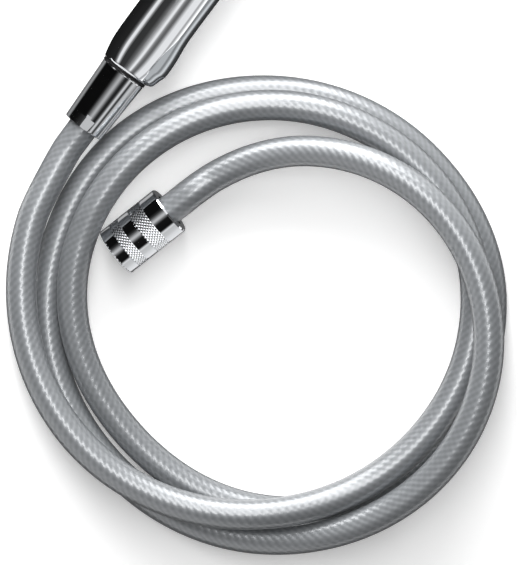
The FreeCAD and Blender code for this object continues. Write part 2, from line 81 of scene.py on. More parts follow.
@dataclass(frozen=True)
class Lay:
    """Where the handset, the coil and the supply nut lie, in millimetres and degrees."""

    coil_middle: Station = (129.2, -142.1)
    lean: float = 3.75
    cone_length: float = 31.2
    supply_heading: float = 254.87
    supply_slope: float = 8.0
    face_at: Station = (-36.0, 160.0)
    face_turn: float = 110.0
    # The hose's centreline, at turn angles: its distance from the coil's middle, and its height.
    radii: Stations = (
        (169.5, 117.0), (200, 110.4), (245, 100.8), (285, 93.2), (315, 90.5), (350, 93.0),
        (390, 99.3), (418, 102.1), (460, 98.8), (500, 94.4), (560, 86.4), (610, 80.1),
        (640, 82.6), (700, 97.8), (760, 108.8), (800, 106.9), (845, 103.6), (885, 101.6),
        (920, 97.4), (955, 95.7), (985, 96.3), (1030, 103.0), (1075, 108.8), (1105, 107.2),
        (1140, 98.2), (1190, 78.4), (1222, 66.6), (1246, 62.4))
    heights: Stations = (
        (169.5, 15.8), (260, 23.6), (305, 25.8), (345, 22.2), (390, 22.2), (520, 21.6),
        (640, 7.2), (980, 7.2), (1125, 39.0), (1246, 16.5))

    def radius_at(self, angle: float) -> float:
        """Distance from the coil's middle, on a smooth curve through the stations.

        Args:
            angle: turn angle in degrees.

        Returns:
            The distance in millimetres.
        """
        place = sum(a < angle for a, _ in self.radii) - 1
        i = min(max(place, 0), len(self.radii) - 2)
        (a0, v0), (a1, v1) = self.radii[i:i + 2]
        leave, arrive = chord_slopes(self.radii)[i:i + 2]
        width = a1 - a0
        return on_curve((angle - a0) / width, (v0, v1), (leave * width, arrive * width))

    def height_at(self, angle: float) -> float:
        """Height of the centreline, with a cosine ease between the stations.

        Args:
            angle: turn angle in degrees.

        Returns:
            The height in millimetres.
        """
        for (a0, v0), (a1, v1) in zip(self.heights, self.heights[1:]):
            if angle <= a1:
                share = max(0.0, (angle - a0) / (a1 - a0))
                return v0 + (v1 - v0) * (1 - math.cos(math.pi * share)) / 2
        return self.heights[-1][1]

    def coil_point(self, angle: float) -> Vector:
        """Point of the hose's centreline.

        Args:
            angle: turn angle in degrees.

        Returns:
            The point in metres.
        """
        radius, turn = self.radius_at(angle), math.radians(angle)
        x, y = self.coil_middle
        return Vector((x + radius * math.cos(turn), y + radius * math.sin(turn),
                       self.height_at(angle))) * MM

    def handset(self) -> Matrix:
        """Placing of what is made along +Y from the foot of the handle."""
        return (Matrix.Translation(self.coil_point(self.radii[0][0]))
                @ Matrix.Rotation(math.radians(self.lean), 4, "X")
                @ Matrix.Translation((0, self.cone_length * MM, 0)))

    def head(self) -> Matrix:
        """Placing of what is made along +Y out of the spray face."""
        x, y = self.face_at
        return (self.handset() @ Matrix.Translation((x * MM, y * MM, 0))
                @ Matrix.Rotation(math.radians(self.face_turn), 4, "Z"))

    def supply(self) -> Matrix:
        """Placing of what is made along +Y from the supply nut's rear face."""
        return (Matrix.Translation(self.coil_point(self.radii[-1][0]))
                @ Matrix.Rotation(math.radians(self.supply_heading - 90), 4, "Z")
                @ Matrix.Rotation(math.radians(-self.supply_slope), 4, "X"))


LAY = Lay()
# Turned pieces are made upright along +Z, then laid along +Y.
LAID = Matrix.Rotation(math.radians(-90), 4, "X")


def linear(code: str) -> tuple[float, float, float, float]:
    """Linear colour of an sRGB hex value.

    Args:
        code: colour as "#rrggbb".

    Returns:
        Linear red, green and blue with full alpha.
    """
    parts = [int(code[i:i + 2], 16) / 255 for i in (1, 3, 5)]
    red, green, blue = [c / 12.92 if c <= 0.04045 else ((c + 0.055) / 1.055) ** 2.4 for c in parts]
    return red, green, blue, 1.0


def bare_tree(owner: bpy.types.Material | bpy.types.World) -> Tree:
    """Empties the node tree of a new material or world.

    Args:
        owner: the material or world.

    Returns:
        Its tree.
    """
    owner.use_nodes = True
    owner.node_tree.nodes.clear()
    return owner.node_tree


def add_node(tree: Tree, kind: str, values: dict | None = None, links: dict | None = None,
             **settings) -> bpy.types.Node:
    """Adds one node.

    Args:
        tree: the node tree.
        kind: the node's type.
        values: input name or number to constant value.
        links: input name or number to the output socket that feeds it.
        settings: properties of the node.

    Returns:
        The new node.
    """
    node = tree.nodes.new(kind)
    for key, value in settings.items():
        setattr(node, key, value)
    for key, value in (values or {}).items():
        node.inputs[key].default_value = value
    for key, socket in (links or {}).items():
        tree.links.new(socket, node.inputs[key])
    return node


def close_surface(tree: Tree, values: dict, links: dict) -> None:
    """Ends a material's tree with its Principled shader.

    Args:
        tree: the node tree.
        values: the shader's constant inputs.
        links: the shader's inputs that other nodes feed.
    """
    shader = add_node(tree, "ShaderNodeBsdfPrincipled", values, links)
    add_node(tree, "ShaderNodeOutputMaterial", links={"Surface": shader.outputs["BSDF"]})


def per_metre(size_mm: float) -> float:
    """Texture scale on Object coordinates for a grain of that size."""
    return 1000.0 / size_mm


@dataclass(frozen=True)
class ChromePlate:
    """Bright chrome over brass or moulded plastic: a mirror under a faint polishing haze."""

    name: str
    colour: str = "#e9ebee"
    roughness: float = 0.0
    haze: float = 0.12
    haze_roughness: float = 0.3
    haze_mm: float = 9.0
    peel_mm: float = 5.0
    peel: float = 0.012

    def make(self) -> bpy.types.Material:
        """Builds the material.

        Returns:
            The material, perfectly sharp on faces whose attribute "cut" is 1.
        """
        material = bpy.data.materials.new(self.name)
        tree = bare_tree(material)
        where = add_node(tree, "ShaderNodeTexCoord").outputs["Object"]
        cloud = add_node(tree, "ShaderNodeTexNoise",
                         {"Scale": per_metre(self.haze_mm), "Detail": 4.0}, {"Vector": where})
        haze = add_node(tree, "ShaderNodeMapRange",
                        {"From Min": 0.35, "From Max": 0.75, "To Max": self.haze},
                        {"Value": cloud.outputs["Fac"]})
        cut = add_node(tree, "ShaderNodeAttribute", attribute_name="cut")
        rough = add_node(tree, "ShaderNodeMapRange", {"To Min": self.roughness, "To Max": 0.0},
                         {"Value": cut.outputs["Fac"]})
        peel = add_node(tree, "ShaderNodeTexNoise",
                        {"Scale": per_metre(self.peel_mm), "Detail": 1.0}, {"Vector": where})
        bump = add_node(tree, "ShaderNodeBump", {"Strength": self.peel, "Distance": MM},
                        {"Height": peel.outputs["Fac"]})
        close_surface(tree, {"Base Color": linear(self.colour), "Metallic": 1.0,
                             "Coat Roughness": self.haze_roughness},
                      {"Coat Weight": haze.outputs["Result"], "Roughness": rough.outputs["Result"],
                       "Normal": bump.outputs["Normal"]})
        return material


@dataclass(frozen=True)
class CoveredBraid:
    """Silver yarn braid under a clear glossy vinyl cover: its ridges put teeth on the lights."""

    name: str
    # The dark colour is painted shade in the weave's hollows; the light one lies on its crests.
    light: str = "#8e9194"
    dark: str = "#7e8184"
    strands: int = 12
    pitch_mm: float = 3.7
    girth_mm: float = 44.0
    # How much the yarns of the other hand show beside those that lead.
    under: float = 0.35
    roughness: float = 0.4
    metallic: float = 0.34
    depth_mm: float = 0.06
    cover_roughness: float = 0.25

    def make(self) -> bpy.types.Material:
        """Builds the material on the hose's own UV map: around, then along in turns of its girth.

        Returns:
            The material.
        """
        material = bpy.data.materials.new(self.name)
        tree = bare_tree(material)
        uv = add_node(tree, "ShaderNodeUVMap", uv_map="UVMap").outputs["UV"]
        split = add_node(tree, "ShaderNodeSeparateXYZ", links={"Vector": uv}).outputs
        around, along = [
            add_node(tree, "ShaderNodeMath", {1: 2 * math.pi * count}, {0: split[axis]},
                     operation="MULTIPLY").outputs["Value"]
            for axis, count in (("X", self.strands), ("Y", self.girth_mm / self.pitch_mm))]
        yarns = []
        for operation in ("SUBTRACT", "ADD"):
            phase = add_node(tree, "ShaderNodeMath", links={0: around, 1: along}, operation=operation)
            yarns.append(add_node(tree, "ShaderNodeMath", links={0: phase.outputs["Value"]},
                                  operation="SINE").outputs["Value"])
        under = add_node(tree, "ShaderNodeMath", {1: self.under}, {0: yarns[1]},
                         operation="MULTIPLY")
        weave = add_node(tree, "ShaderNodeMath", links={0: yarns[0], 1: under.outputs["Value"]},
                         operation="ADD")
        crest = 1 + self.under
        height = add_node(tree, "ShaderNodeMapRange", {"From Min": -crest, "From Max": crest},
                          {"Value": weave.outputs["Value"]}).outputs["Result"]
        # The colour follows the weave's height: the yarn pattern, with painted shade where the surface
        # is low.
        colour = add_node(tree, "ShaderNodeMix", {"A": linear(self.dark), "B": linear(self.light)},
                          {"Factor": height}, data_type="RGBA")
        bump = add_node(tree, "ShaderNodeBump", {"Strength": 1.0, "Distance": self.depth_mm * MM},
                        {"Height": height}).outputs["Normal"]
        close_surface(tree, {"Metallic": self.metallic, "Roughness": self.roughness, "IOR": 1.5,
                             "Coat Weight": 1.0, "Coat Roughness": self.cover_roughness,
                             "Coat IOR": 1.53},
                      {"Base Color": colour.outputs["Result"], "Normal": bump,
                       "Coat Normal": bump})
        return material


@dataclass(frozen=True)
class Moulded:
    """Moulded plastic or rubber: fine spark-eroded grain and a little unevenness of tone."""

    name: str
    colour: str
    roughness: float = 0.5
    ior: float = 1.5
    grain_mm: float = 0.35
    grain: float = 0.08
    tone: float = 0.04
    cloud_mm: float = 12.0

    def make(self) -> bpy.types.Material:
        """Builds the material.

        Returns:
            The material.
        """
        material = bpy.data.materials.new(self.name)
        tree = bare_tree(material)
        where = add_node(tree, "ShaderNodeTexCoord").outputs["Object"]
        cloud = add_node(tree, "ShaderNodeTexNoise",
                         {"Scale": per_metre(self.cloud_mm), "Detail": 3.0}, {"Vector": where})
        pale = linear(self.colour)
        dim = tuple(c * (1 - 2.5 * self.tone) for c in pale[:3]) + (1.0,)
        colour = add_node(tree, "ShaderNodeMix", {"A": dim, "B": pale},
                          {"Factor": cloud.outputs["Fac"]}, data_type="RGBA")
        grain = add_node(tree, "ShaderNodeTexNoise",
                         {"Scale": per_metre(self.grain_mm), "Detail": 2.0}, {"Vector": where})
        bump = add_node(tree, "ShaderNodeBump", {"Strength": self.grain, "Distance": 0.3 * MM},
                        {"Height": grain.outputs["Fac"]})
        close_surface(tree, {"Roughness": self.roughness, "IOR": self.ior},
                      {"Base Color": colour.outputs["Result"], "Normal": bump.outputs["Normal"]})
        return material


@dataclass(frozen=True)
class TurnedMetal:
    """Bare metal from the lathe: satin, with a slightly mottled tone."""

    name: str
    colour: str
    dull: str
    roughness: float = 0.28
    mottle_mm: float = 3.0

    def make(self) -> bpy.types.Material:
        """Builds the material.

        Returns:
            The material.
        """
        material = bpy.data.materials.new(self.name)
        tree = bare_tree(material)
        where = add_node(tree, "ShaderNodeTexCoord").outputs["Object"]
        cloud = add_node(tree, "ShaderNodeTexNoise",
                         {"Scale": per_metre(self.mottle_mm), "Detail": 5.0}, {"Vector": where})
        colour = add_node(tree, "ShaderNodeMix", {"A": linear(self.dull), "B": linear(self.colour)},
                          {"Factor": cloud.outputs["Fac"]}, data_type="RGBA")
        rough = add_node(tree, "ShaderNodeMapRange",
                         {"To Min": self.roughness - 0.06, "To Max": self.roughness + 0.1},
                         {"Value": cloud.outputs["Fac"]})
        close_surface(tree, {"Metallic": 1.0}, {"Base Color": colour.outputs["Result"],
                                                "Roughness": rough.outputs["Result"]})
        return material


class Finish(Enum):
    """Every finish on the sprayer."""

    CHROME = ChromePlate("Bright chrome plate")
    RING_CHROME = ChromePlate("Chrome plate on the face ring", "#e4e6ea", roughness=0.09)
    NUT_CHROME = ChromePlate("Chrome plate on the knurled nut", roughness=0.03)
    SHELL_CHROME = ChromePlate("Bright chrome plate on the handle", roughness=0.04)
    SATIN_CHROME = ChromePlate("Satin chrome plate on the back insert", "#b1b5b9", roughness=0.14)
    BRAID = CoveredBraid("Silver braid under clear vinyl")
    BLACK_RUBBER = Moulded("Black nitrile rubber", "#0b0b0c", roughness=0.7, ior=1.35,
                           grain_mm=0.5, grain=0.1, tone=0.1)
    NOZZLE_RUBBER = Moulded("Grey silicone nozzle mat", "#6a6d70", roughness=0.45, ior=1.41)
    FACE_PLASTIC = Moulded("Satin grey ABS face", "#b9bcbf", roughness=0.35, ior=1.54)
    INNER_PLASTIC = Moulded("Natural acetal", "#e6e5df", roughness=0.4, ior=1.48)
    BRASS = TurnedMetal("Turned brass", "#c9a45c", "#a98443")
    STEEL = TurnedMetal("Plain steel", "#b4b6b8", "#8f9194", roughness=0.25)

    def dress(self, piece: Piece) -> None:
        """Puts this finish on a piece all over; its material is made the first time.

        Args:
            piece: the piece.
        """
        material = bpy.data.materials.get(self.value.name) or self.value.make()
        piece.data.materials.clear()
        piece.data.materials.append(material)


class Workbench:
    """Hand-modelling moves on one active object; sizes come in as millimetres."""

    @staticmethod
    def clear() -> None:
        """Leaves edit mode and deselects everything."""
        if bpy.context.object and bpy.context.object.mode != "OBJECT":
            bpy.ops.object.mode_set(mode="OBJECT")
        bpy.ops.object.select_all(action="DESELECT")

    @staticmethod
    def pick(piece: Piece) -> None:
        """Makes one object the only selected and active one.

        Args:
            piece: the object.
        """
        Workbench.clear()
        piece.select_set(True)
        bpy.context.view_layer.objects.active = piece

    @staticmethod
    def edit(everything: bool = True) -> None:
        """Opens the active mesh for edits by its points.

        Args:
            everything: whether all the points are selected, or stay as they were.
        """
        bpy.ops.object.mode_set(mode="EDIT")
        bpy.context.tool_settings.mesh_select_mode = (True, False, False)
        if everything:
            bpy.ops.mesh.select_all(action="SELECT")

    @staticmethod
    def close() -> None:
        """Turns every face outwards and leaves edit mode."""
        bpy.ops.mesh.select_all(action="SELECT")
        bpy.ops.mesh.normals_make_consistent(inside=False)
        bpy.ops.object.mode_set(mode="OBJECT")

    @staticmethod
    def pull(x: float, y: float, z: float) -> None:
        """Extrudes what is selected and moves the new end."""
        bpy.ops.mesh.extrude_region_move(TRANSFORM_OT_translate={"value": (x * MM, y * MM, z * MM)})

    @staticmethod
    def lathe(name: str, stations: list[Station], segments: int = 128) -> Piece:
        """Draws a turned form by pulling a circle from station to station up the Z axis.

        Args:
            name: the piece's name.
            stations: (radius, height) in order; a first and last station alike close the wall.
            segments: sides of the circle.

        Returns:
            The new object, upright at the origin.
        """
        Workbench.clear()
        tiny = 0.002
        radius, height = max(stations[0][0], tiny), stations[0][1]
        bpy.ops.mesh.primitive_circle_add(vertices=segments, radius=radius * MM,
                                          location=(0, 0, height * MM))
        piece = bpy.context.object
        piece.name = piece.data.name = name
        bpy.ops.object.transform_apply(location=True, rotation=True, scale=True)
        Workbench.edit()
        for next_radius, next_height in stations[1:]:
            next_radius = max(next_radius, tiny)
            Workbench.pull(0, 0, next_height - height)
            grow = next_radius / radius
            bpy.ops.transform.resize(value=(grow, grow, 1), center_override=(0, 0, next_height * MM))
            radius, height = next_radius, next_height
        bpy.ops.mesh.select_all(action="SELECT")
        bpy.ops.mesh.remove_doubles(threshold=0.01 * MM)
        Workbench.close()
        return piece

    @staticmethod
    def soften(piece: Piece, width: float, angle: float) -> None:
        """Bevels the sharp edges in two steps.

        Args:
            piece: the object.
            width: bevel width.
            angle: edges sharper than this are bevelled, in degrees.
        """
        Workbench.pick(piece)
        bevel = piece.modifiers.new("edge", "BEVEL")
        bevel.width = width * MM
        bevel.segments = 2
        bevel.limit_method = "ANGLE"
        bevel.angle_limit = math.radians(angle)
        bevel.harden_normals = False
        bpy.ops.object.modifier_apply(modifier=bevel.name)

    @staticmethod
    def carve(piece: Piece, cutter: Piece, operation: str = "DIFFERENCE") -> None:
        """Joins or cuts with another closed form, then removes that form.

        Args:
            piece: the object that stays.
            cutter: the form that is used up.
            operation: DIFFERENCE or UNION.
        """
        Workbench.pick(piece)
        cut = piece.modifiers.new("cut", "BOOLEAN")
        cut.operation = operation
        cut.solver = "EXACT"
        cut.object = cutter
        bpy.ops.object.modifier_apply(modifier=cut.name)
        bpy.data.objects.remove(cutter)

    @staticmethod
    def smooth(piece: Piece, angle: float) -> None:
        """Shades smooth but keeps edges sharper than an angle in degrees."""
        Workbench.pick(piece)
        bpy.ops.object.shade_smooth_by_angle(angle=math.radians(angle))

    @staticmethod
    def place(piece: Piece, matrix: Matrix) -> None:
        """Moves the piece and bakes its place into its mesh.

        Args:
            piece: the object.
            matrix: its place.
        """
        Workbench.pick(piece)
        piece.matrix_world = matrix
        bpy.ops.object.transform_apply(location=True, rotation=True, scale=True)


@dataclass
class CoiledHose:
    """The braided hose: one tube from tail to tail along the coil."""

    diameter: float = 14.0
    steps_per_turn: int = 72
    sides: int = 40
    spacing: float = 2.0
    in_cone: float = 17.2
    in_supply: float = 17.0
    lead: float = 7.0
    # How far past the cone nut, and how far before the supply nut, the hose bends, in degrees.
    bend_from: float = 21.0
    bend_to: float = 20.0
    line: list[Vector] = field(default_factory=list)

    def route(self) -> list[Vector]:
        """Control points: straight out of the cone nut, round the coil, straight into the supply nut.

        Returns:
            The points in order, in metres.
        """
        first, last = LAY.radii[0][0], LAY.radii[-1][0]
        up = (LAY.handset().to_3x3() @ Vector((0, 1, 0))).normalized()
        out = (LAY.supply().to_3x3() @ Vector((0, 1, 0))).normalized()
        start, end = LAY.coil_point(first), LAY.coil_point(last)
        points = [start + up * reach * MM
                  for reach in (self.in_cone, self.in_cone / 2, 0, -self.lead, -2 * self.lead)]
        angle = first + self.bend_from
        while angle < last - self.bend_to:
            points.append(LAY.coil_point(angle))
            angle += 360 / self.steps_per_turn
        return points + [end + out * reach * MM for reach in (-2 * self.lead, -self.lead, 0,
                                                              self.in_supply / 2, self.in_supply)]

    def centreline(self) -> list[Vector]:
        """Even points read from the route's NURBS spline.

        Returns:
            The points in order, in metres.
        """
        curve = bpy.data.curves.new("hose_route", "CURVE")
        curve.dimensions = "3D"
        curve.resolution_u = 8
        spline = curve.splines.new("NURBS")
        points = self.route()
        spline.points.add(len(points) - 1)
        for knot, point in zip(spline.points, points):
            knot.co = (*point, 1.0)
        spline.order_u = 3
        spline.use_endpoint_u = True
        holder = bpy.data.objects.new("hose_route", curve)
        bpy.context.scene.collection.objects.link(holder)
        bpy.context.view_layer.update()
        mesh = bpy.data.meshes.new_from_object(holder)
        line = [vertex.co.copy() for vertex in mesh.vertices]
        bpy.data.objects.remove(holder)
        bpy.data.curves.remove(curve)
        bpy.data.meshes.remove(mesh)
        return self.evened(line)

    def evened(self, line: list[Vector]) -> list[Vector]:
        """The same line in equal steps.

        Args:
            line: points in order.

        Returns:
            Points close to the hose's spacing apart, with both ends kept.
        """
        lengths = [0.0]
        for p, q in zip(line, line[1:]):
            lengths.append(lengths[-1] + (q - p).length)
        count = round(lengths[-1] / (self.spacing * MM))
        even, i = [], 0
        for k in range(count + 1):
            target = lengths[-1] * k / count
            while i < len(line) - 2 and lengths[i + 1] < target:
                i += 1
            run = lengths[i + 1] - lengths[i]
            share = 0.0 if run == 0 else (target - lengths[i]) / run
            even.append(line[i].lerp(line[i + 1], min(1.0, share)))
        return even

    def build(self) -> Piece:
        """Skins the tube with a UV map that follows it.

        Returns:
            The hose.
        """
        self.line = line = self.centreline()
        radius = self.diameter / 2 * MM
        girth = 2 * math.pi * radius
        last, sides = len(line) - 1, self.sides
        vertices, faces, around_along, rows = [], [], [], []
        heading = (line[1] - line[0]).normalized()
        side = heading.orthogonal().normalized()
        travelled = 0.0
        for i, point in enumerate(line):
            ahead = (line[min(i + 1, last)] - line[max(i - 1, 0)]).normalized()
            side = (heading.rotation_difference(ahead) @ side).normalized()
            heading = ahead
            across = heading.cross(side)
            if i:
                travelled += (point - line[i - 1]).length
            rows.append(travelled / girth)
            for k in range(sides):
                turn = 2 * math.pi * k / sides
                vertices.append(point + (side * math.cos(turn) + across * math.sin(turn)) * radius)
        for i in range(last):
            for k in range(sides):
                a, b = i * sides + k, i * sides + (k + 1) % sides
                faces.append((a, b, b + sides, a + sides))
                u0, u1 = k / sides, (k + 1) / sides
                around_along += [(u0, rows[i]), (u1, rows[i]), (u1, rows[i + 1]), (u0, rows[i + 1])]
        for end in (0, last):
            ring = range(end * sides, (end + 1) * sides)
            faces.append(tuple(ring if end else reversed(ring)))
            around_along += [(k / sides, rows[end]) for k in range(sides)]
        mesh = bpy.data.meshes.new("braided_hose")
        mesh.from_pydata(vertices, [], faces)
        layer = mesh.uv_layers.new(name="UVMap")
        for loop, uv in zip(layer.data, around_along):
            loop.uv = uv
        mesh.update()
        piece = bpy.data.objects.new("braided_hose", mesh)
        bpy.context.scene.collection.objects.link(piece)
        Workbench.pick(piece)
        Workbench.edit()
        Workbench.close()
        Workbench.smooth(piece, 60)
        Finish.BRAID.dress(piece)
        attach(piece, "handset")
        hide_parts("hose")
        log.info("hose %.3f m", travelled)
        return piece


@dataclass
class KnurledNut:
    """Supply nut: three plain bands, two diamond-knurled ones, and the thread in its mouth."""

    radius: float = 11.85
    length: float = 32.0
    thread: float = 9.32
    shoulder: float = 15.0
    hole: float = 8.1
    # Where each knurled band starts and ends, from the rear.
    knurls: Stations = ((8.4, 15.8), (21.2, 26.6))
    # The real knurl has about 60 in a row, too fine to show, so it is cut coarser.
    diamonds: int = 42
    knurl_depth: float = 0.24
    groove: float = 0.2
    gutter: float = 0.22
    edge: float = 0.25
    pitch: float = 1.814
    nearly: float = 0.004

    def outline(self) -> list[Station]:
        """The wall's section: outside from the rear up, then down the inside.

        Returns:
            (radius, height) stations.
        """
        r, t, end = self.radius, self.thread, self.length
        step = math.pi * r / self.diamonds
        stations = [(self.hole + 0.4, 0.0), (r - 1.1, 0.0), (r - 0.5, 0.15), (r, 0.9)]
        for low, high in self.knurls:
            width = high - low - 2 * self.edge
            rows = round(width / step)
            stations += [(r, low - 0.1), (r - self.gutter, low), (r - self.gutter, low + 0.2)]
            stations += [(r - self.groove, low + self.edge + width * i / rows)
                         for i in range(rows + 1)]
            stations += [(r - self.gutter, high - 0.2), (r - self.gutter, high), (r, high + 0.1)]
        stations += [(r, end - 0.7), (r - 0.2, end - 0.2), (r - 0.7, end), (t + 0.9, end),
                     (t + 0.75, end - 0.5)]
        depth = end - 0.6
        while depth > self.shoulder + 1.2 * self.pitch:
            stations += [(t + 0.62, depth - 0.25 * self.pitch), (t, depth - 0.5 * self.pitch),
                         (t, depth - 0.62 * self.pitch)]
            depth -= self.pitch
        return stations + [(t, self.shoulder), (self.hole, self.shoulder), (self.hole, 0.4),
                           (self.hole + 0.4, 0.0)]

    def raise_knurl(self, piece: Piece) -> None:
        """Lifts every other crossing of the knurl's grid into a diamond point.

        Args:
            piece: the upright nut.
        """
        mesh = piece.data
        base = self.radius - self.groove
        step = math.pi / self.diamonds
        Workbench.pick(piece)
        crossings = {v.index: round(v.co.z / MM, 3) for v in mesh.vertices
                     if abs(math.hypot(v.co.x, v.co.y) / MM - base) < self.nearly}
        order = {z: i for i, z in enumerate(sorted(set(crossings.values())))}
        for v in mesh.vertices:
            k = round(math.atan2(v.co.y, v.co.x) / step)
            v.select = v.index in crossings and (k + order[crossings[v.index]]) % 2 == 0
        for part in (mesh.edges, mesh.polygons):
            part.foreach_set("select", [False] * len(part))
        Workbench.edit(everything=False)
        grow = (base + self.knurl_depth) / base
        bpy.ops.transform.resize(value=(grow, grow, 1), center_override=(0, 0, 0))
        bpy.ops.mesh.select_all(action="SELECT")
        bpy.ops.mesh.quads_convert_to_tris(quad_method="SHORTEST_DIAGONAL")
        bpy.ops.object.mode_set(mode="OBJECT")
        cut = mesh.attributes.new("cut", "FLOAT", "FACE")
        for face, entry in zip(mesh.polygons, cut.data):
            corners = [mesh.vertices[k].co for k in face.vertices]
            entry.value = float(all(
                round(c.z / MM, 3) in order and math.hypot(c.x, c.y) / MM > base - self.nearly
                for c in corners))

    def build(self) -> Piece:
        """Turns the nut, cuts its knurl and places it.

        Returns:
            The nut.
        """
        piece = Workbench.lathe("knurled_supply_nut", self.outline(), 2 * self.diamonds)
        self.raise_knurl(piece)
        Workbench.smooth(piece, 18)
        Workbench.place(piece, LAY.supply() @ LAID)
        Finish.NUT_CHROME.dress(piece)
        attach(piece, "supply_nut")
        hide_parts("supply_nut")
        return piece


@dataclass
class ConeNut:
    """Tapered nut at the handset with a pair of wrench flats at its small end."""

    large: float = 11.15
    small: float = 9.9
    length: float = 31.2
    gap: float = 0.2
    thread: float = 9.95
    depth: float = 14.1
    hole: float = 7.3
    room: float = 8.1
    flat: float = 9.0
    flat_length: float = 5.3
    flat_turn: float = -6.0

    def build(self) -> Piece:
        """Turns the nut, mills its flats and places it.

        Returns:
            The nut.
        """
        large, small, top, end = self.large, self.small, -self.gap, -self.length
        outline = [(self.thread, top), (large - 0.45, top), (large - 0.08, top - 0.14),
                   (large, top - 0.5)]
        outline += [(large + (small - large) * i / 8, end * i / 8) for i in range(1, 8)]
        outline += [(small, end + 0.5), (small - 0.14, end + 0.14), (small - 0.5, end),
                    (self.hole, end), (self.hole, end + 3.7), (self.room, end + 4.2),
                    (self.room, -self.depth), (self.thread, -self.depth), (self.thread, top)]
        piece = Workbench.lathe("cone_nut_body", outline, 160)
        for side in (1, -1):
            self.mill(piece, side)
        Workbench.smooth(piece, 12)
        Workbench.place(piece, LAY.handset() @ LAID)
        Finish.CHROME.dress(piece)
        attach(piece, "cone_nut")
        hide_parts("cone_nut")
        return piece

    def mill(self, piece: Piece, side: int) -> None:
        """Cuts one wrench flat with a block.

        Args:
            piece: the upright nut.
            side: 1 for the flat that looks up, -1 for the one below.
        """
        wide, thick, tall = 30.0, 10.0, self.flat_length + 2
        Workbench.clear()
        bpy.ops.mesh.primitive_cube_add(size=1)
        block = bpy.context.object
        block.scale = (wide * MM, thick * MM, tall * MM)
        block.location = (0, -side * (self.flat + thick / 2) * MM,
                          (self.flat_length - tall / 2 - self.length) * MM)
        bpy.ops.object.transform_apply(location=True, rotation=True, scale=True)
        Workbench.place(block, Matrix.Rotation(math.radians(self.flat_turn), 4, "Z"))
        Workbench.carve(piece, block)


